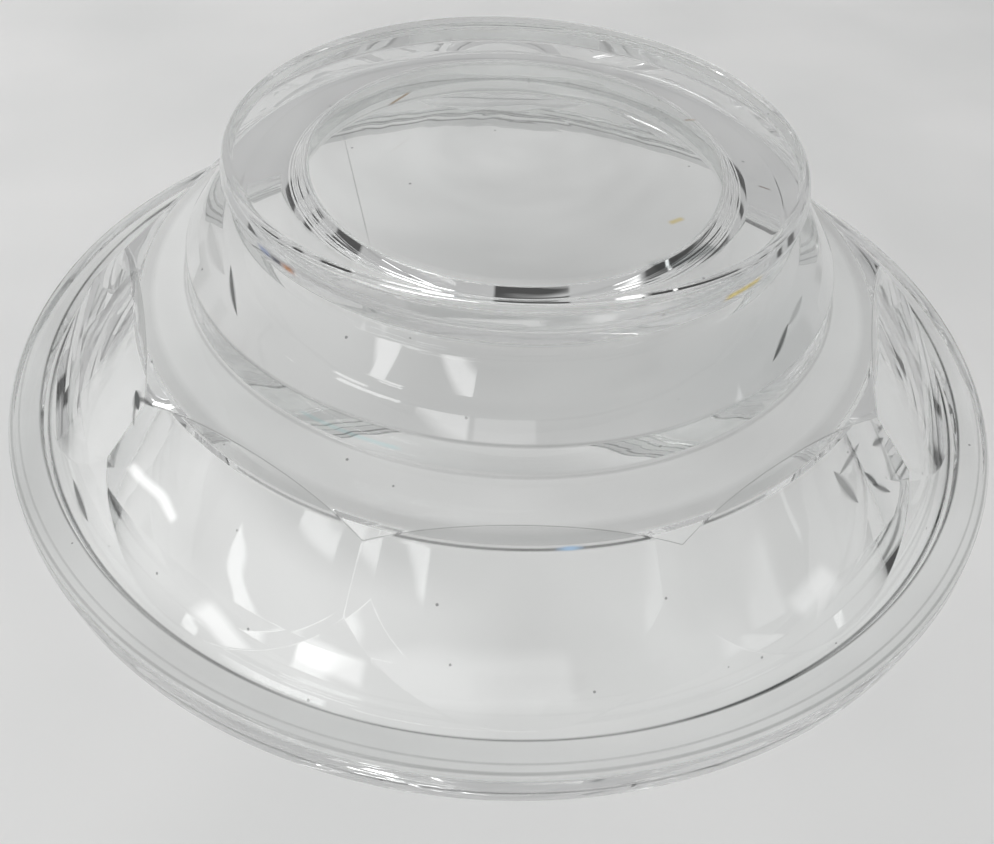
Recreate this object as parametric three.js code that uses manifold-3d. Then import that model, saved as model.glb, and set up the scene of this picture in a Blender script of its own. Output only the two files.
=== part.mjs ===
// Cut crystal fruit bowl, shown upside down: it rests on its rim, and its foot is on top.
// Units are millimetres, +Z is up, and the origin is the centre of the circle that the rim rests on.

import * as THREE from 'three';
import { mergeVertices } from 'three/addons/utils/BufferGeometryUtils.js';
import Module from 'manifold-3d';

// Overall width; the height follows from the neck's and the foot's
const rimDiameter = 290;

// Rim band: a nearly flat ring with rounded edges, that the bowl rests on
const rimBandHeight = 11.4;
const rimBandWidth = 9;
const rimBandSlope = 0.5;
const rimSideHeight = 6;
const rimSideLean = 0.6;
const rimEdgeRound = 2;
const rimRestInset = 1.4;
const lipWidth = 16;
const lipRound = 1.5;

// Groove: a sharp V between the rim band and the wall
const grooveWidth = 1.6;
const grooveHeight = 8.2;
const grooveSink = 0.6;

// Wall: a full curve from the groove up to the shoulder, and a flatter one on to the ledge
const shoulderRadius = 111;
const shoulderHeight = 37.8;
const wallBulgeRadius = 120.1;
const wallBulgeHeight = 32.9;
const wallTopHeight = 42.5;
const wallTopWidth = 2.6;
const wallTopBulge = 0.7;

// Panels: flat cuts all round the wall, that meet corner to corner on the shoulder and slope down
// to just past the groove
const panelCount = 10;
const panelFootReach = 0.4;
const panelTurn = 3.7;
const cornerInset = 0.6;
const cornerRise = 0.2;

// Ledge and the tier that slopes up from it to the neck
const ledgeRadius = 90.4;
const ledgeLean = 1.2;
const ledgeHeight = 8.5;
const ledgeRound = 1.4;
const tierRound = 14;
const tierBulgeRadius = 84.5;
const tierBulgeHeight = 57.2;

// Foot: a thick disc on a narrow neck
const footDiameter = 154;
const footThickness = 11;
const footSideHeight = 5;
const footSideLean = 0.7;
const footEdgeWidth = 1.6;
const footEdgeRound = 2.8;
const neckRadius = 72.6;
const neckHeight = 66.8;
const neckFlareHeight = 1.4;
const tierFlareWidth = 3;
const tierFlareHeight = 3.4;
const seatGap = 0.3;

// Inside: a flat floor, a steep-sided well that flares out to a flat ring under the ledge, a low
// step at the inner shoulder, and a wide slope out to the rim
const floorRadius = 56.5;
const floorThickness = 17.6;
const floorRound = 2;
const wellSpread = 1.3;
const wellDepth = 12;
const wellRound = 8;
const flareInset = 0.6;
const flareDrop = 7.6;
const flareRound = 8;
const innerLedgeInset = 2.4;
const innerLedgeRound = 6;
const ledgeWall = 7.6;
const shoulderWall = 7.4;
const shoulderDrop = 5.1;
const innerStepWidth = 0.6;
const innerStepHeight = 1.6;
const innerStepRound = 0.4;
const slopeFootInset = 13.4;
const slopeFootHeight = 12;
const slopeFootRound = 6;

// How finely the round shapes are divided
const turnSteps = 60;
const roundSteps = 3;

const rimRadius = rimDiameter / 2;
const footRadius = footDiameter / 2;
const bandInnerRadius = rimRadius - rimBandWidth;
const grooveRadius = bandInnerRadius - grooveWidth;
const restInnerRadius = rimRadius - lipWidth + lipRound;
const wallTopRadius = ledgeRadius + wallTopWidth;
const ledgeTopHeight = wallTopHeight + ledgeHeight;
const bowlHeight = neckHeight + footThickness;
const floorHeight = bowlHeight - floorThickness;
const innerShoulderRadius = shoulderRadius - shoulderWall;
const innerShoulderHeight = shoulderHeight - shoulderDrop;

const crystal = new THREE.MeshStandardMaterial({
  color: 0xe4ecec,
  roughness: 0.02,
  metalness: 0,
  transparent: true,
  opacity: 0.35,
});

// An outline through corners of [radius, height, roundness], where a corner with a roundness is
// eased into a curve that starts at most halfway along the edges beside it.
function roundedOutline(corners) {
  const outline = new THREE.Path();
  corners.forEach(([radius, level, roundness = 0], index) => {
    const corner = new THREE.Vector2(radius, level);
    const before = corners[index - 1];
    const after = corners[index + 1];
    if (!before) {
      outline.moveTo(radius, level);
      return;
    }
    if (!roundness || !after) {
      outline.lineTo(radius, level);
      return;
    }
    const inward = new THREE.Vector2(before[0], before[1]).sub(corner);
    const outward = new THREE.Vector2(after[0], after[1]).sub(corner);
    const halfTurn = (Math.PI - Math.abs(inward.angleTo(outward))) / 2;
    const shortest = Math.min(inward.length(), outward.length());
    const reach = Math.min(roundness * Math.tan(halfTurn), shortest * 0.49);
    const start = corner.clone().add(inward.setLength(reach));
    const end = corner.clone().add(outward.setLength(reach));
    outline.lineTo(start.x, start.y);
    outline.quadraticCurveTo(corner.x, corner.y, end.x, end.y);
  });
  return outline;
}

// Turns an outline of (radius, height) points about the Z axis.
function turned(outline) {
  const geometry = new THREE.LatheGeometry(outline.getPoints(roundSteps), turnSteps);
  geometry.rotateX(Math.PI / 2);
  return geometry;
}

const wasm = await Module();
wasm.setup();

function solidFrom(geometry) {
  geometry.deleteAttribute('normal');
  geometry.deleteAttribute('uv');
  const merged = mergeVertices(geometry, 1e-4);
  const mesh = new wasm.Mesh({
    numProp: 3,
    vertProperties: new Float32Array(merged.attributes.position.array),
    triVerts: new Uint32Array(merged.index.array),
  });
  return new wasm.Manifold(mesh);
}

function geometryFrom(solid) {
  const mesh = solid.getMesh();
  const geometry = new THREE.BufferGeometry();
  geometry.setAttribute('position', new THREE.BufferAttribute(mesh.vertProperties, 3));
  geometry.setIndex(new THREE.BufferAttribute(mesh.triVerts, 1));
  geometry.computeVertexNormals();
  return geometry;
}

// The bowl without its rim band: the inside from the floor out to the lip, then the outside back
// up over the wall, the ledge and the tier to the neck.
function bodyGeometry() {
  const outline = roundedOutline([
    [0, floorHeight],
    [floorRadius, floorHeight, floorRound],
    [floorRadius + wellSpread, floorHeight - wellDepth, wellRound],
    [neckRadius - flareInset, ledgeTopHeight - flareDrop, flareRound],
    [ledgeRadius - innerLedgeInset, wallTopHeight - ledgeWall, innerLedgeRound],
    [innerShoulderRadius - innerStepWidth, innerShoulderHeight + innerStepHeight, innerStepRound],
    [innerShoulderRadius, innerShoulderHeight, innerStepRound],
    [grooveRadius - slopeFootInset, slopeFootHeight, slopeFootRound],
    [rimRadius - lipWidth, lipRound, lipRound],
    [restInnerRadius, 0],
    [grooveRadius, 0],
    [grooveRadius, grooveHeight],
  ]);
  outline.quadraticCurveTo(wallBulgeRadius, wallBulgeHeight, shoulderRadius, shoulderHeight);
  const wallTopBulgeRadius = (shoulderRadius + wallTopRadius) / 2 - wallTopBulge;
  const wallTopBulgeHeight = (shoulderHeight + wallTopHeight) / 2 + wallTopBulge * 2;
  outline.quadraticCurveTo(wallTopBulgeRadius, wallTopBulgeHeight, wallTopRadius, wallTopHeight);
  const tier = roundedOutline([
    [wallTopRadius, wallTopHeight],
    [ledgeRadius, wallTopHeight],
    [ledgeRadius - ledgeLean, ledgeTopHeight, ledgeRound],
    [tierBulgeRadius, tierBulgeHeight, tierRound],
    [neckRadius + tierFlareWidth, neckHeight - tierFlareHeight, ledgeRound],
    [neckRadius, neckHeight - seatGap / 2],
    [0, neckHeight - seatGap / 2],
  ]);
  outline.curves.push(...tier.curves);
  return turned(outline);
}

// The rim band, drawn from inside the wall's glass out over the groove and round to the rest.
function rimBandGeometry() {
  const outline = roundedOutline([
    [restInnerRadius, 0],
    [rimRadius - rimRestInset, 0],
    [rimRadius - rimSideLean, rimSideLean, rimSideLean],
    [rimRadius, rimSideHeight, rimEdgeRound],
    [rimRadius - rimSideLean, rimBandHeight - rimSideLean / 2, rimEdgeRound],
    [bandInnerRadius + rimBandWidth / 2, rimBandHeight, rimEdgeRound],
    [bandInnerRadius, rimBandHeight - rimBandSlope],
    [grooveRadius + grooveSink, grooveHeight - grooveSink],
    [restInnerRadius, grooveHeight - grooveSink],
    [restInnerRadius, 0],
  ]);
  return turned(outline);
}

// One cutting block: its near face is the flat of a panel, and it stops below the ledge.
function panelCutter(index) {
  const blockSize = rimDiameter;
  const turn = THREE.MathUtils.degToRad(panelTurn - 90 + (index * 360) / panelCount);
  const cornerRadius = shoulderRadius - cornerInset;
  const block = new THREE.BoxGeometry(blockSize, blockSize, blockSize);
  block.translate(blockSize / 2, 0, 0);
  const panelTopRadius = cornerRadius * Math.cos(Math.PI / panelCount);
  const panelTopHeight = shoulderHeight + cornerRise;
  const panelRun = grooveRadius + panelFootReach - panelTopRadius;
  block.rotateY(-Math.atan2(panelRun, panelTopHeight - grooveHeight));
  block.translate(panelTopRadius, 0, panelTopHeight);
  block.rotateZ(turn);
  const above = new THREE.BoxGeometry(blockSize * 4, blockSize * 4, blockSize);
  above.translate(0, 0, wallTopHeight + blockSize / 2);
  return solidFrom(block).subtract(solidFrom(above));
}

function bowlGeometry() {
  let body = solidFrom(bodyGeometry());
  for (let index = 0; index < panelCount; index += 1) {
    body = body.subtract(panelCutter(index));
  }
  return geometryFrom(body.add(solidFrom(rimBandGeometry())));
}

function footGeometry() {
  const underside = neckHeight + seatGap / 2;
  const outline = roundedOutline([
    [0, underside],
    [neckRadius, underside],
    [footRadius - footSideLean, neckHeight + neckFlareHeight, neckFlareHeight],
    [footRadius, bowlHeight - footSideHeight, footEdgeRound],
    [footRadius - footEdgeWidth, bowlHeight, footEdgeRound],
    [0, bowlHeight],
  ]);
  return turned(outline);
}

const bowl = new THREE.Mesh(bowlGeometry(), crystal);
bowl.name = 'bowl';

const foot = new THREE.Mesh(footGeometry(), crystal.clone());
foot.name = 'foot';

const fruitBowl = new THREE.Group();
fruitBowl.add(bowl, foot);

export default fruitBowl;
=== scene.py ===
import math

import bpy
from mathutils import Matrix, Vector


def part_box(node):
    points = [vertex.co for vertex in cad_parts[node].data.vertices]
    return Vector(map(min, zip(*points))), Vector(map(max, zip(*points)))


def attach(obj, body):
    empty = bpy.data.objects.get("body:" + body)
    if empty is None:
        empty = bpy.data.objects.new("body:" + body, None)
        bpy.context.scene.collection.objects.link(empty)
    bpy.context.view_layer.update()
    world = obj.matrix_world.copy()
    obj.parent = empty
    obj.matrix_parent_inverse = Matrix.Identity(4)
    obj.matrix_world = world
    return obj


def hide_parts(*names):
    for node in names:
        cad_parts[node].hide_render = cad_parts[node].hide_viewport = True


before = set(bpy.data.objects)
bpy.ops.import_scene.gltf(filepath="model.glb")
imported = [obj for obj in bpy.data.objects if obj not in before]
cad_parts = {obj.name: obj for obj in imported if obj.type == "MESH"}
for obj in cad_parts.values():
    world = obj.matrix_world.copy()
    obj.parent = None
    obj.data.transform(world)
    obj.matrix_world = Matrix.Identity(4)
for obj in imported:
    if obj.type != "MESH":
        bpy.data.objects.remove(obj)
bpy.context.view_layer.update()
mm = 0.001
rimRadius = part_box("bowl")[1].x / mm  # 145 mm
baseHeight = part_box("foot")[1].z / mm  # the flat base is on top, because the bowl lies upside down


def noteStage(text):
    print("stage:", text)


def addObject(name, data):
    item = bpy.data.objects.new(name, data)
    bpy.context.scene.collection.objects.link(item)
    return item


# The bowl and its foot are one lump of clear glass. A corner is (radius, height, rounding) in mm,
# and the path runs over the glass from the base, down to the rim, and back up to the floor inside.
crystalBowl = {
    "columnsPerPanel": 44,
    "roundStep": 9,
    "curveSteps": 12,
    "easeSteps": 5,
    "cornerBunching": 0.85,
    "footRadius": 77,
    "footEdge": (75.4, 2.8),
    "footSide": (72.8, 5),
    "footFoot": (76.3, 68.2, 1.4),
    "neck": (72.6, 66.8, 1.6),
    "tierTop": (75.6, 63.4, 2.5),
    "tierBulge": (84.5, 57.2, 14),
    "ledgeTop": (89.2, 51, 1.4),
    "ledgeBottom": (90.4, 42.7, 1.2),
    "wallTop": (93, 42.5),
    "wallTopBulge": (101, 41.6),
    "shoulder": (111, 37.8),
    "wallBulge": (120.1, 32.9),
    "wallFoot": (134.2, 8.2),
    "groove": (134.7, 7.2, 0.3),
    "rimBandInner": (136, 10.9, 0.4),
    "rimBandMiddle": (141, 11.4, 8),
    "rimBandOuter": (11.2, 2),
    "rimSide": (6, 3),
    "rimFoot": (0.6, 0.9),
    "rimLean": (0.6, 0.4),  # above and below the rim's side
    "rimRest": (143.4, 0, 0.6),
    "lip": (131, 0, 0.8),
    "inside": [
        (129, 1.5, 1.5),
        (121, 12, 6),
        (103.6, 32.7, 0.4),
        (103, 34.3, 0.4),
        (88, 34.9, 6),
        (72, 43.4, 8),
        (57.8, 48.2, 8),
        (56.5, 60.2, 2),
    ],
    "floorHeight": 60.2,
    "panelCount": 10,
    "panelSlope": 45,
    "panelTurn": 3.7,
    "panelPoint": (105, 38),
    "panelEdgeEase": 0.4,
    "longestEase": 0.4,  # as a share of the panel's height
    "panelCornerTurn": 0.12,
}


longestReach = 0.49  # of the shorter edge beside a rounded corner
halvings = 40


# An outline is a list of points with their normals, (radius, sideways, height)
def normalOf(direction):
    return Vector((-direction.y, 0, direction.x)).normalized()


def bend(ends, t):
    start, middle, end = (Vector(point) for point in ends)
    point = start * (1 - t) ** 2 + middle * 2 * t * (1 - t) + end * t * t
    return point, 2 * ((middle - start) * (1 - t) + (end - middle) * t)


def roundCorner(before, here, after, roundness, roundStep):
    inward = (before - here).normalized()
    outward = (after - here).normalized()
    halfAngle = inward.angle(outward) / 2
    longest = longestReach * min((before - here).length, (after - here).length)
    reach = min(roundness / math.tan(halfAngle), longest)
    centre = here + (inward + outward).normalized() * reach / math.cos(halfAngle)
    start = here + inward * reach - centre
    turn = start.angle_signed(here + outward * reach - centre)
    steps = max(3, math.ceil(abs(math.degrees(turn)) / roundStep))
    pairs = []
    for step in range(steps + 1):
        swing = Matrix.Rotation(-turn * step / steps, 2)
        pairs.append((centre + swing @ start, normalOf(swing @ -inward)))
    return pairs


def roundedOutline(corners, roundStep):
    points = [Vector(corner[:2]) for corner in corners]
    outline = [(points[0], normalOf(points[1] - points[0]))]
    for index in range(1, len(corners) - 1):
        outline += roundCorner(*points[index - 1:index + 2], corners[index][2], roundStep)
    return outline + [(points[-1], normalOf(points[-1] - points[-2]))]


def easedEdge(ends, before, after, steps):
    pairs = []
    for step in range(1, steps + 1):
        pairs.append((bend(ends, step / steps)[0], before.slerp(after, step / steps)))
    return pairs


# Where a flat panel crosses the upright plane of one column
def panelLine(b, turn):
    half = math.pi / b["panelCount"]
    blend = math.radians(b["panelCornerTurn"])
    past = max(0, abs(turn) - (half - blend))
    eased = abs(turn) - past * past / (2 * blend)
    slope = math.radians(b["panelSlope"])
    radius, height = b["panelPoint"]
    reach = radius * math.cos(slope) + height * math.sin(slope)
    along = Vector((math.cos(eased) * math.cos(slope), math.sin(slope)))
    sideways = -math.copysign(math.sin(eased) * math.cos(slope), turn) * (1 - past / blend)
    return along, reach, Vector((along.x, sideways, along.y)).normalized()


def crossing(ends, along, reach, rising):
    low, high = 0, 1
    for halving in range(halvings):
        middle = (low + high) / 2
        if (bend(ends, middle)[0].dot(along) > reach) == rising:
            high = middle
        else:
            low = middle
    return middle


# One column of the wall: curved glass, a flat panel between eased edges, curved glass
def wallColumn(b, turn):
    upper = (b["wallTop"], b["wallTopBulge"], b["shoulder"])
    lower = (b["shoulder"], b["wallBulge"], b["wallFoot"])
    along, reach, panelNormal = panelLine(b, turn)
    first = crossing(upper, along, reach, True)
    last = crossing(lower, along, reach, False)
    cutTop, topDirection = bend(upper, first)
    cutFoot, footDirection = bend(lower, last)
    panel = cutFoot - cutTop
    ease = min(b["panelEdgeEase"], b["longestEase"] * panel.length)
    first -= ease / topDirection.length
    last += ease / footDirection.length
    steps = b["curveSteps"]
    column = []
    for step in range(steps + 1):
        point, direction = bend(upper, first * step / steps)
        column.append((point, normalOf(direction)))
    topEase = (column[-1][0], cutTop, cutTop + panel.normalized() * ease)
    edgeRow = len(column) + b["easeSteps"] // 2
    column += easedEdge(topEase, column[-1][1], panelNormal, b["easeSteps"])
    point, direction = bend(lower, last)
    footEase = (cutFoot - panel.normalized() * ease, cutFoot, point)
    column.append((footEase[0], panelNormal))
    column += easedEdge(footEase, panelNormal, normalOf(direction), b["easeSteps"])
    for step in range(1, steps + 1):
        point, direction = bend(lower, last + (1 - last) * step / steps)
        column.append((point, normalOf(direction)))
    return column, edgeRow


def footOutline(b):
    return roundedOutline([
        (0, baseHeight),
        (b["footEdge"][0], baseHeight, b["footEdge"][1]),
        (b["footRadius"], *b["footSide"]),
        b["footFoot"],
        b["neck"],
        b["tierTop"],
        b["tierBulge"],
        b["ledgeTop"],
        b["ledgeBottom"],
        b["wallTop"],
    ], b["roundStep"])


def rimAndInside(b):
    leanAbove, leanBelow = b["rimLean"]
    return roundedOutline([
        b["wallFoot"],
        b["groove"],
        b["rimBandInner"],
        b["rimBandMiddle"],
        (rimRadius - leanAbove, *b["rimBandOuter"]),
        (rimRadius, *b["rimSide"]),
        (rimRadius - leanBelow, *b["rimFoot"]),
        b["rimRest"],
        b["lip"],
        *b["inside"],
        (0, b["floorHeight"]),
    ], b["roundStep"])


# Columns stand closer together towards the corners between panels
def columnTurns(b):
    half = math.pi / b["panelCount"]
    count = b["columnsPerPanel"]
    for panel in range(b["panelCount"]):
        middle = math.radians(b["panelTurn"] - 90) + 2 * half * panel
        for index in range(count):
            share = 2 * index / count - 1
            turn = half * (share + b["cornerBunching"] * math.sin(math.pi * share) / math.pi)
            yield middle + turn, turn


def makeBowl(b):
    foot, inside = footOutline(b), rimAndInside(b)
    vertices, normals, edges = [(0, 0, baseHeight * mm)], [(0, 0, 1)], []
    for angle, turn in columnTurns(b):
        outward = Vector((math.cos(angle), math.sin(angle), 0))
        sideways = Vector((-outward.y, outward.x, 0))
        wall, edgeRow = wallColumn(b, turn)
        column = foot[1:-1] + wall + inside[1:-1]
        edges.append(len(vertices) + len(foot) - 2 + edgeRow)
        for point, normal in column:
            vertices.append(outward * point.x * mm + Vector((0, 0, point.y * mm)))
            normals.append(outward * normal.x + sideways * normal.y + Vector((0, 0, normal.z)))
    vertices.append((0, 0, b["floorHeight"] * mm))
    normals.append((0, 0, -1))
    rows = len(column)
    columns = b["panelCount"] * b["columnsPerPanel"]
    faces = []
    for index in range(columns):
        here = 1 + index * rows
        beside = 1 + (index + 1) % columns * rows
        faces.append((0, here, beside))
        faces.append((len(vertices) - 1, beside + rows - 1, here + rows - 1))
        for row in range(rows - 1):
            faces.append((here + row, here + row + 1, beside + row + 1, beside + row))
    data = bpy.data.meshes.new("crystalBowl")
    data.from_pydata(vertices, [], faces, shade_flat=False)
    data.normals_split_custom_set_from_vertices(normals)
    marks = data.attributes.new("panelEdge", "FLOAT", "POINT")
    for vertex in edges:
        marks.data[vertex].value = 1
    noteStage(f"bowl has {len(faces)} faces in {columns} columns")
    return addObject("crystalBowl", data)


# Clear glass with thin grey lines of painted dark refraction where it turns sharply: at (radius,
# height) in mm, as far to each side as the third figure, and as dark as the fourth. A fringe is such
# a line with
# a hue of its own, between two azimuths: a painted coloured glint or, where wide and grey, painted
# shade.
# A mark is wear on the base, with its length, width and turn. A stroke is a painted dark glint of
# refraction on the wall or tier. Light reaches the cloth through the glass by shadeSteps.
clearCrystal = {
    "colour": (0.975, 0.985, 0.98, 1),
    # colour of the painted dark refraction lines and glints, and of the specks
    "lineColour": (0.002, 0.003, 0.003, 1),
    "ior": 1.52,
    # painted dark refraction: thin grey rings where the glass turns sharply
    "lines": [
        (134.75, 7.4, 0.5, 1),
        (136.05, 10.75, 0.35, 0.95),
        (141.4, 11.3, 0.25, 0.4),
        (143.4, 11.2, 0.35, 0.55),
        (145, 5.4, 0.5, 0.95),
        (103.3, 33.5, 0.4, 1),
        (101.2, 34.4, 1.9, 0.3),
        (90.9, 42.6, 0.4, 0.35),
        (89.2, 50.9, 0.5, 0.35),
        (73, 66.9, 0.6, 0.5),
        (76.4, 68.3, 0.4, 0.4),
        (75.8, 77.5, 0.4, 0.45),
        (77, 73, 0.35, 0.3),
    ],
    # painted dark refraction along the edges of the panels
    "panelEdge": 0.85,
    "lineBreaks": {"scale": 22, "least": 0.7},
    "clouds": {"scale": 60, "depth": 0.16},
    "drawn": (0.3, 0.7, 1),
    "waves": {"scale": 70, "depth": 0.00007, "fromRadius": 104, "inner": 0.45},
    "fringeSoft": 1.5,
    # painted coloured glints of dispersion, painted dark refraction, and wide grey bands of painted
    # shade on the tier and foot
    "paintedFringes": [
        {"at": (85, 57), "width": 9, "azimuths": (-60, -20),
         "colour": (0.76, 0.78, 0.78, 1), "soft": 18},
        {"at": (76.4, 72), "width": 4, "azimuths": (-62, -8),
         "colour": (0.74, 0.76, 0.76, 1), "soft": 14},
        {"at": (76.4, 72), "width": 4, "azimuths": (-174, -134),
         "colour": (0.78, 0.8, 0.8, 1), "soft": 14},
        {"at": (76.8, 71.8), "width": 0.9, "azimuths": (-138, -134.5),
         "colour": (0.15, 0.22, 0.5, 1)},
        {"at": (76.8, 71.8), "width": 0.9, "azimuths": (-134.5, -131),
         "colour": (0.01, 0.01, 0.02, 1)},
        {"at": (76.8, 71.8), "width": 0.9, "azimuths": (-131, -128),
         "colour": (0.5, 0.12, 0.03, 1)},
        {"at": (76.8, 71.6), "width": 0.9, "azimuths": (-51, -42),
         "colour": (0.75, 0.5, 0.06, 1)},
        {"at": (103.3, 33.6), "width": 0.5, "azimuths": (-81.7, -79.5),
         "colour": (0.2, 0.45, 0.85, 1)},
        {"at": (66.6, 77.8), "width": 1.9, "azimuths": (-62, -47),
         "colour": (0.22, 0.24, 0.24, 1)},
        {"at": (90.2, 46), "width": 0.6, "azimuths": (-120, -104),
         "colour": (0.7, 0.93, 0.95, 1)},
    ],
    "marks": [
        {"at": (-37.6, -32.9), "size": (44, 0.3), "turn": -74, "colour": (0.45, 0.45, 0.45, 1)},
        {"at": (-32.7, 13), "size": (9, 0.8), "turn": 61, "colour": (0.3, 0.17, 0.08, 1)},
        {"at": (46.3, 11.1), "size": (3, 0.6), "turn": 10, "colour": (0.25, 0.14, 0.06, 1)},
        {"at": (38, -39.3), "size": (4, 1.4), "turn": 37, "colour": (0.8, 0.6, 0.2, 1)},
        {"at": (61.2, -22), "size": (3, 0.5), "turn": -30, "colour": (0.15, 0.1, 0.08, 1)},
    ],
    "outerWall": 140,  # radius and height together, less on the inside of the wall
    # painted dark glints of refraction at the corners of the panels and on the tier
    "paintedDarkGlints": [
        {"from": (-37, 110), "to": (-42.4, 110.9), "width": 0.5, "level": 0.75},
        {"from": (-43, 109.6), "to": (-41.6, 117.4), "width": 1.3, "level": 0.75},
        {"from": (-35.4, 112.6), "to": (-33.2, 113.8), "width": 0.7, "level": 0.85},
        {"from": (-38.6, 114.4), "to": (-37.6, 118.4), "width": 0.7, "level": 0.95},
        {"from": (-38.4, 117), "to": (-36.4, 121.4), "width": 0.6, "level": 0.9},
        {"from": (-144.4, 110.2), "to": (-140.6, 112), "width": 1.1, "level": 1},
        {"from": (-143.6, 111.2), "to": (-138.8, 109.2), "width": 0.5, "level": 0.9},
        {"from": (-143.4, 110.8), "to": (-139.6, 114.6), "width": 0.45, "level": 0.8},
        {"from": (-145, 131), "to": (-139, 132.2), "width": 0.7, "level": 0.9},
        {"from": (-147.4, 80.2), "to": (-137.6, 85.4), "width": 0.55, "level": 0.95},
        {"from": (-163, 81.6), "to": (-146.4, 82.4), "width": 1.3, "level": 0.3},
        {"from": (-36, 83.6), "to": (-43.4, 86.8), "width": 0.5, "level": 0.95},
        {"from": (-28, 82.4), "to": (-36.6, 84), "width": 0.5, "level": 0.5},
    ],
    "specks": {"scale": 90, "size": 0.033, "strength": 0.75},
    "shadeSteps": [
        (0, 0.85),
        (57, 0.85),
        (64, 0.91),
        (90, 0.95),
        (104, 1.05),
        (133, 1.05),
        (139, 1.07),
        (145, 0.94),
    ],
    "restHeight": 1.2,  # lower glass touches the cloth and shades nothing
    "baseSkin": 0.2,  # marks reach no deeper below the base
    "sharpestPoint": 0.02,
}


def crystalMaterial(c):
    material = bpy.data.materials.new("clearCrystal")
    material.use_nodes = True
    tree = material.node_tree
    glass = tree.nodes["Principled BSDF"]
    glass.inputs["Roughness"].default_value = 0
    glass.inputs["IOR"].default_value = c["ior"]
    glass.inputs["Transmission Weight"].default_value = 1
    place, x, y, radius, height = placeRound(tree)
    drawn = drawnRound(tree, c["drawn"], x, y, radius, height)
    tint = glassTint(tree, c, place, drawn, x, y, radius, height)
    tree.links.new(tint, glass.inputs["Base Color"])
    tree.links.new(moulded(tree, c["waves"], drawn, radius), glass.inputs["Normal"])
    shade = tree.nodes.new("ShaderNodeValToRGB")
    tree.links.new(joinMath(tree, "DIVIDE", radius, rimRadius), shade.inputs[0])
    setStops(shade, [(at / rimRadius, level) for at, level in c["shadeSteps"]])
    path = tree.nodes.new("ShaderNodeLightPath")
    clear = tree.nodes.new("ShaderNodeBsdfTransparent")
    rest = joinMath(tree, "LESS_THAN", height, c["restHeight"])
    tree.links.new(mixColour(tree, rest, shade.outputs[0], (1, 1, 1, 1)), clear.inputs["Color"])
    mix = tree.nodes.new("ShaderNodeMixShader")
    either = joinMath(tree, "MAXIMUM", path.outputs["Is Shadow Ray"], path.outputs["Is Diffuse Ray"])
    tree.links.new(either, mix.inputs[0])
    tree.links.new(glass.outputs[0], mix.inputs[1])
    tree.links.new(clear.outputs[0], mix.inputs[2])
    tree.links.new(mix.outputs[0], tree.nodes["Material Output"].inputs["Surface"])
    return material


# A place in the glass for noise that is drawn out round the bowl
def drawnRound(tree, drawn, x, y, radius, height):
    across, outward, upward = drawn
    joined = tree.nodes.new("ShaderNodeCombineXYZ")
    tree.links.new(joinMath(tree, "MULTIPLY", x, across), joined.inputs[0])
    tree.links.new(joinMath(tree, "MULTIPLY", y, across), joined.inputs[1])
    out = joinMath(tree, "MULTIPLY", radius, outward * mm)
    up = joinMath(tree, "MULTIPLY", height, upward * mm)
    tree.links.new(joinMath(tree, "ADD", out, up), joined.inputs[2])
    return joined.outputs[0]


# The slight waviness of moulded glass, stronger on the wall
def moulded(tree, w, drawn, radius):
    bump = tree.nodes.new("ShaderNodeBump")
    bump.inputs["Distance"].default_value = w["depth"]
    onWall = joinMath(tree, "GREATER_THAN", radius, w["fromRadius"])
    tree.links.new(joinMath(tree, "MAXIMUM", onWall, w["inner"]), bump.inputs["Strength"])
    tree.links.new(spots(tree, drawn, w["scale"], 0, 1), bump.inputs["Height"])
    return bump.outputs[0]


# The glass tint holds painted dark refraction lines, painted coloured glints and painted shade,
# besides the glass's own clouds, wear marks and specks
def glassTint(tree, c, place, drawn, x, y, radius, height):
    edge = tree.nodes.new("ShaderNodeAttribute")
    edge.attribute_name = "panelEdge"
    # painted dark refraction along the panel edges and the rings
    dark = joinMath(tree, "MULTIPLY", edge.outputs["Fac"], c["panelEdge"])
    for lineRadius, lineHeight, width, strength in c["lines"]:
        mask = ringMask(tree, radius, height, (lineRadius, lineHeight), width)
        dark = joinMath(tree, "MAXIMUM", dark, joinMath(tree, "MULTIPLY", mask, strength))
    breaks = spots(tree, place, c["lineBreaks"]["scale"], c["lineBreaks"]["least"], 1)
    clouds = spots(tree, drawn, c["clouds"]["scale"], 1 - c["clouds"]["depth"], 1)
    tint = mixColour(tree, clouds, (0, 0, 0, 1), c["colour"])
    tint = mixColour(tree, joinMath(tree, "MULTIPLY", dark, breaks), tint, c["lineColour"])
    azimuth = azimuthOf(tree, x, y)
    # painted coloured glints and painted shade
    for fringe in c["paintedFringes"]:
        first, last = fringe["azimuths"]
        turned = joinMath(tree, "SUBTRACT", azimuth, (first + last) / 2)
        ring = ringMask(tree, radius, height, fringe["at"], fringe["width"])
        soft = fringe.get("soft", c["fringeSoft"])
        mask = joinMath(tree, "MULTIPLY", ring, bandMask(tree, turned, last - first, soft))
        tint = mixColour(tree, mask, tint, fringe["colour"])
    onBase = joinMath(tree, "GREATER_THAN", height, baseHeight - c["baseSkin"])
    for mark in c["marks"]:
        mask = joinMath(tree, "MULTIPLY", onBase, markMask(tree, x, y, mark))
        tint = mixColour(tree, mask, tint, mark["colour"])
    outside = joinMath(tree, "GREATER_THAN", joinMath(tree, "ADD", radius, height), c["outerWall"])
    # painted dark glints of refraction
    for stroke in c["paintedDarkGlints"]:
        mask = strokeMask(tree, azimuth, radius, stroke, c["sharpestPoint"])
        mask = joinMath(tree, "MULTIPLY", joinMath(tree, "MULTIPLY", mask, outside), stroke["level"])
        tint = mixColour(tree, mask, tint, c["lineColour"])
    specks = speckMask(tree, place, c["specks"])
    return mixColour(tree, specks, tint, c["lineColour"])


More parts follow.
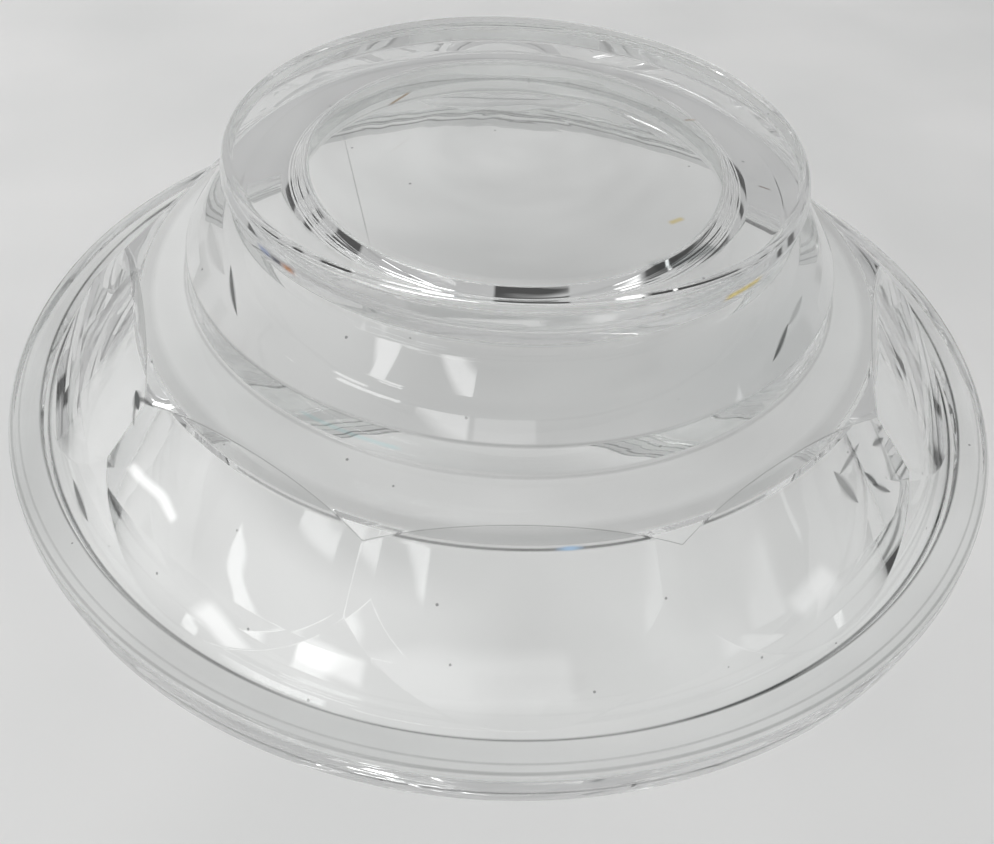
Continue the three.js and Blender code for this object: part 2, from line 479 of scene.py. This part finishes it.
def ringMask(tree, radius, height, at, width):
    across = joinMath(tree, "SUBTRACT", radius, at[0])
    above = joinMath(tree, "SUBTRACT", height, at[1])
    squares = joinMath(
        tree, "ADD", joinMath(tree, "POWER", across, 2), joinMath(tree, "POWER", above, 2))
    return bandMask(tree, joinMath(tree, "SQRT", squares), 2 * width, width)


# A straight mark on the base, with ends and sides that fade
def markMask(tree, x, y, mark):
    turn = math.radians(mark["turn"])
    east = joinMath(tree, "SUBTRACT", joinMath(tree, "DIVIDE", x, mm), mark["at"][0])
    north = joinMath(tree, "SUBTRACT", joinMath(tree, "DIVIDE", y, mm), mark["at"][1])
    along = joinMath(
        tree, "ADD", joinMath(tree, "MULTIPLY", east, math.cos(turn)),
        joinMath(tree, "MULTIPLY", north, math.sin(turn)))
    across = joinMath(
        tree, "SUBTRACT", joinMath(tree, "MULTIPLY", north, math.cos(turn)),
        joinMath(tree, "MULTIPLY", east, math.sin(turn)))
    length, width = mark["size"]
    ends = bandMask(tree, along, length, length / 4)
    return joinMath(tree, "MULTIPLY", ends, bandMask(tree, across, width, width / 2))


# A short stroke, pointed at both ends, from one azimuth and radius to another: the shape of a
# painted dark glint
def strokeMask(tree, azimuth, radius, stroke, sharpest):
    (firstTurn, firstRadius), (lastTurn, lastRadius) = stroke["from"], stroke["to"]
    perDegree = math.radians((firstRadius + lastRadius) / 2)
    along, out = (lastTurn - firstTurn) * perDegree, lastRadius - firstRadius
    length = math.hypot(along, out)
    turned = joinMath(tree, "MULTIPLY", joinMath(tree, "SUBTRACT", azimuth, firstTurn), perDegree)
    outward = joinMath(tree, "SUBTRACT", radius, firstRadius)
    part = joinMath(
        tree, "ADD", joinMath(tree, "MULTIPLY", turned, along / length ** 2),
        joinMath(tree, "MULTIPLY", outward, out / length ** 2))
    across = joinMath(
        tree, "SUBTRACT", joinMath(tree, "MULTIPLY", turned, out / length),
        joinMath(tree, "MULTIPLY", outward, along / length))
    left = joinMath(tree, "SUBTRACT", 1, part)
    taper = joinMath(tree, "MULTIPLY", joinMath(tree, "MULTIPLY", part, left), 4)  # 1 halfway
    across = joinMath(tree, "DIVIDE", across, joinMath(tree, "MAXIMUM", taper, sharpest))
    within = joinMath(tree, "GREATER_THAN", taper, 0)
    band = bandMask(tree, across, 2 * stroke["width"], stroke["width"])
    return joinMath(tree, "MULTIPLY", within, band)


def speckMask(tree, place, specks):
    cells = tree.nodes.new("ShaderNodeTexVoronoi")
    cells.inputs["Scale"].default_value = specks["scale"]
    tree.links.new(place, cells.inputs["Vector"])
    near = joinMath(tree, "LESS_THAN", cells.outputs["Distance"], specks["size"])
    return joinMath(tree, "MULTIPLY", near, specks["strength"])


# Where a point lies, and its radius and height in mm
def placeRound(tree):
    place = tree.nodes.new("ShaderNodeTexCoord").outputs["Object"]
    split = tree.nodes.new("ShaderNodeSeparateXYZ")
    tree.links.new(place, split.inputs[0])
    x, y, z = split.outputs
    squares = joinMath(
        tree, "ADD", joinMath(tree, "MULTIPLY", x, x), joinMath(tree, "MULTIPLY", y, y))
    radius = joinMath(tree, "DIVIDE", joinMath(tree, "SQRT", squares), mm)
    return place, x, y, radius, joinMath(tree, "DIVIDE", z, mm)


def azimuthOf(tree, x, y):
    return joinMath(tree, "MULTIPLY", joinMath(tree, "ARCTAN2", y, x), 180 / math.pi)


noiseDetail = 2
noiseSpan = (0.35, 0.65)  # nearly all of the noise lies between these


# Soft noise, from its least level to its most
def spots(tree, place, scale, least, most):
    noise = tree.nodes.new("ShaderNodeTexNoise")
    noise.inputs["Scale"].default_value = scale
    noise.inputs["Detail"].default_value = noiseDetail
    tree.links.new(place, noise.inputs["Vector"])
    spread = tree.nodes.new("ShaderNodeMapRange")
    tree.links.new(noise.outputs["Fac"], spread.inputs["Value"])
    for name, value in zip(("From Min", "From Max", "To Min", "To Max"), (*noiseSpan, least, most)):
        spread.inputs[name].default_value = value
    return spread.outputs[0]


def setStops(ramp, steps):
    stops = ramp.color_ramp.elements
    for stop, (position, level) in zip((stops[0], stops[1]), (steps[0], steps[-1])):
        stop.position = position
        stop.color = (level, level, level, 1)
    for position, level in steps[1:-1]:
        stops.new(position).color = (level, level, level, 1)


def mixColour(tree, share, below, above):
    mix = tree.nodes.new("ShaderNodeMix")
    mix.data_type = "RGBA"
    tree.links.new(share, mix.inputs[0])
    for socket, value in ((mix.inputs[6], below), (mix.inputs[7], above)):
        if isinstance(value, tuple):
            socket.default_value = value
        else:
            tree.links.new(value, socket)
    return mix.outputs[2]


def bandMask(tree, distance, width, soft):
    room = joinMath(tree, "SUBTRACT", width / 2 + soft / 2, joinMath(tree, "ABSOLUTE", distance))
    return joinMath(tree, "DIVIDE", room, soft, clamp=True)


def joinMath(tree, operation, *values, clamp=False):
    node = tree.nodes.new("ShaderNodeMath")
    node.operation = operation
    node.use_clamp = clamp
    for socket, value in zip(node.inputs, values):
        if isinstance(value, (int, float)):
            socket.default_value = value
        else:
            tree.links.new(value, socket)
    return node.outputs[0]


# The table is covered with a plain pale cloth, mottled with painted shade of soft folds, and painted
# lighter where the bowl's wall gathers light
tableCloth = {
    "halfWidth": 0.5,
    "drop": 0.0006,
    "colour": (0.82, 0.82, 0.815, 1),
    # painted shade of soft folds in the cloth
    "foldShadeColour": (0.76, 0.765, 0.76, 1),
    "foldShadeScale": 9,
    # painted pool of light where the bowl's wall gathers light on the cloth
    "paintedLightPool": {
        "radius": 112,
        "width": 34,
        "soft": 12,
        "azimuth": -126,
        "turn": 62,
        "softTurn": 24,
    },
    "paintedLightColour": (0.93, 0.93, 0.925, 1),
    "roughness": 0.9,
}


def makeTable(t):
    half, height = t["halfWidth"], -t["drop"]
    data = bpy.data.meshes.new("table")
    corners = [
        (-half, -half, height),
        (half, -half, height),
        (half, half, height),
        (-half, half, height),
    ]
    data.from_pydata(corners, [], [(0, 1, 2, 3)])
    table = addObject("table", data)
    material = bpy.data.materials.new("tableCloth")
    material.use_nodes = True
    tree = material.node_tree
    cloth = tree.nodes["Principled BSDF"]
    place = tree.nodes.new("ShaderNodeTexCoord").outputs["Object"]
    # painted shade of soft folds
    mixed = mixColour(tree, spots(tree, place, t["foldShadeScale"], 0, 1), t["foldShadeColour"], t["colour"])
    # painted pool of gathered light
    mixed = mixColour(tree, paintedLightPoolMask(tree, t["paintedLightPool"]), mixed, t["paintedLightColour"])
    tree.links.new(mixed, cloth.inputs["Base Color"])
    cloth.inputs["Roughness"].default_value = t["roughness"]
    data.materials.append(material)


# The crescent of cloth painted lighter, as a painted pool of the light that the bowl's wall gathers
def paintedLightPoolMask(tree, g):
    x, y, radius = placeRound(tree)[1:4]
    azimuth = azimuthOf(tree, x, y)
    across = bandMask(tree, joinMath(tree, "SUBTRACT", radius, g["radius"]), g["width"], g["soft"])
    turned = joinMath(tree, "SUBTRACT", azimuth, g["azimuth"])
    return joinMath(tree, "MULTIPLY", across, bandMask(tree, turned, g["turn"], g["softTurn"]))


# The room round the table, as azimuth and elevation in degrees: its plain brightness by elevation,
# and the windows and dark things that the glass mirrors
room = {
    "plain": 0.8,
    "brightness": [(-90, 0.5), (0, 0.5), (15, 0.53), (50, 0.49), (90, 0.76)],
    "patches": [
        {"azimuth": -154, "elevation": 58.5, "width": 12, "height": 4, "level": 6, "soft": 1},
        {"azimuth": -145, "elevation": 56, "width": 18, "height": 3, "level": 6, "soft": 1},
        {"azimuth": -139, "elevation": 52.5, "width": 12, "height": 2, "level": 6, "soft": 0.8},
        {"azimuth": -146, "elevation": 37.5, "width": 14, "height": 3.5, "level": 6, "soft": 1.5},
        {"azimuth": -136, "elevation": 30.5, "width": 24, "height": 5, "level": 6, "soft": 1.2},
        {"azimuth": -136, "elevation": 66.5, "width": 60, "height": 2, "level": 6, "soft": 0.8},
        {"azimuth": -109, "elevation": 29, "width": 18, "height": 3, "level": 4.5, "soft": 1},
        {"azimuth": -152.6, "elevation": 16, "width": 4.5, "height": 1.2, "level": 5, "soft": 0.5},
        {"azimuth": -123, "elevation": 16.4, "width": 16, "height": 2.6, "level": 6, "soft": 1},
        {"azimuth": -121, "elevation": 2, "width": 14, "height": 5, "level": 4, "soft": 1.5},
        {"azimuth": -138, "elevation": 6.5, "width": 26, "height": 2.4, "level": 6, "soft": 0.6},
        {"azimuth": -162.6, "elevation": 18.3, "width": 4, "height": 0.5, "level": 7, "soft": 0.3},
        {"azimuth": -88, "elevation": 29, "width": 20, "height": 3, "level": 2.2, "soft": 1},
        {"azimuth": -79, "elevation": 4.6, "width": 34, "height": 10.4, "level": 0.03, "soft": 1.5},
        {"azimuth": -34, "elevation": 3, "width": 12, "height": 10, "level": 2.2, "soft": 3},
        {"azimuth": -1, "elevation": 2, "width": 48, "height": 12, "level": 0.03, "soft": 3},
        {"azimuth": -12, "elevation": 3, "width": 2, "height": 8, "level": 2, "soft": 1},
        {"azimuth": -12, "elevation": 12.4, "width": 3, "height": 1.2, "level": 3, "soft": 0.6},
        {"azimuth": 51, "elevation": 5, "width": 8, "height": 18, "level": 0.03, "soft": 2},
        {"azimuth": 38, "elevation": 1, "width": 5, "height": 12, "level": 0.03, "soft": 2},
        {"azimuth": 150, "elevation": -1, "width": 12, "height": 14, "level": 0.03, "soft": 2},
        {"azimuth": 168, "elevation": -1, "width": 6, "height": 12, "level": 0.03, "soft": 2},
        {"azimuth": 189, "elevation": 2, "width": 16, "height": 14, "level": 0.03, "soft": 2},
    ],
    "lamp": {"place": (-1.3, -0.5, 0.9), "width": 0.7, "height": 0.5, "power": 9.0},
}


def makeRoom(r):
    world = bpy.data.worlds.new("room")
    bpy.context.scene.world = world
    world.use_nodes = True
    tree = world.node_tree
    place = tree.nodes.new("ShaderNodeTexCoord")
    split = tree.nodes.new("ShaderNodeSeparateXYZ")
    tree.links.new(place.outputs["Generated"], split.inputs[0])
    x, y, z = split.outputs
    azimuth = azimuthOf(tree, x, y)
    elevation = joinMath(tree, "MULTIPLY", joinMath(tree, "ARCSINE", z), 180 / math.pi)
    ramp = tree.nodes.new("ShaderNodeValToRGB")
    share = joinMath(tree, "DIVIDE", joinMath(tree, "ADD", elevation, 90), 180)
    tree.links.new(share, ramp.inputs[0])
    setStops(ramp, [((height + 90) / 180, level) for height, level in r["brightness"]])
    light = ramp.outputs[0]
    for patch in r["patches"]:
        turned = joinMath(tree, "ADD", azimuth, 180 - patch["azimuth"])
        across = joinMath(tree, "SUBTRACT", joinMath(tree, "FLOORED_MODULO", turned, 360), 180)
        above = joinMath(tree, "SUBTRACT", elevation, patch["elevation"])
        mask = joinMath(
            tree, "MULTIPLY", bandMask(tree, across, patch["width"], patch["soft"]),
            bandMask(tree, above, patch["height"], patch["soft"]))
        light = mixColour(tree, mask, light, (patch["level"],) * 3 + (1,))
    path = tree.nodes.new("ShaderNodeLightPath")
    light = mixColour(tree, path.outputs["Is Camera Ray"], light, (r["plain"],) * 3 + (1,))
    tree.links.new(light, tree.nodes["Background"].inputs["Color"])


def makeLamp(lamp):
    light = bpy.data.lights.new("lamp", "AREA")
    light.shape = "RECTANGLE"
    light.size, light.size_y = lamp["width"], lamp["height"]
    light.energy = lamp["power"]
    item = addObject("lamp", light)
    item.location = lamp["place"]
    item.rotation_euler = (-Vector(lamp["place"])).to_track_quat("-Z", "Y").to_euler()
    item.visible_glossy = item.visible_transmission = False


# The camera stands in front of the bowl and looks down on it
view = {
    "place": (0, -0.22454, 0.19385),
    "yaw": -0.21,
    "pitch": 45.09,
    "roll": 3.5,
    "focalPixels": 917.4,
    "imageWidth": 994,
    "nearest": 0.01,
}


def makeCamera(v):
    yaw, pitch, roll = (math.radians(v[name]) for name in ("yaw", "pitch", "roll"))
    level = math.cos(pitch)
    forward = Vector((math.sin(yaw) * level, math.cos(yaw) * level, -math.sin(pitch)))
    levelRight = forward.cross(Vector((0, 0, 1))).normalized()
    levelUp = levelRight.cross(forward)
    right = levelRight * math.cos(roll) + levelUp * math.sin(roll)
    up = levelUp * math.cos(roll) - levelRight * math.sin(roll)
    lens = bpy.data.cameras.new("camera")
    camera = addObject("camera", lens)
    axes = Matrix((right, up, -forward)).transposed().to_4x4()
    camera.matrix_world = Matrix.Translation(Vector(v["place"])) @ axes
    lens.sensor_fit = "HORIZONTAL"
    lens.lens = lens.sensor_width * v["focalPixels"] / v["imageWidth"]
    lens.clip_start = v["nearest"]
    bpy.context.scene.camera = camera


makeCamera(view)
makeTable(tableCloth)
makeRoom(room)
makeLamp(room["lamp"])
noteStage("camera, table, room and lamp are set")

bowl = makeBowl(crystalBowl)
bowl.data.materials.append(crystalMaterial(clearCrystal))
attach(bowl, "root")
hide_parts("bowl", "foot")
noteStage("bowl takes the place of the CAD bowl and foot")

turnsInGlass = 24  # a long way through thick glass has many turns
for limit in ("max_bounces", "glossy_bounces", "transmission_bounces"):
    setattr(bpy.context.scene.cycles, limit, turnsInGlass)

bpy.context.scene.view_settings.view_transform = "Standard"
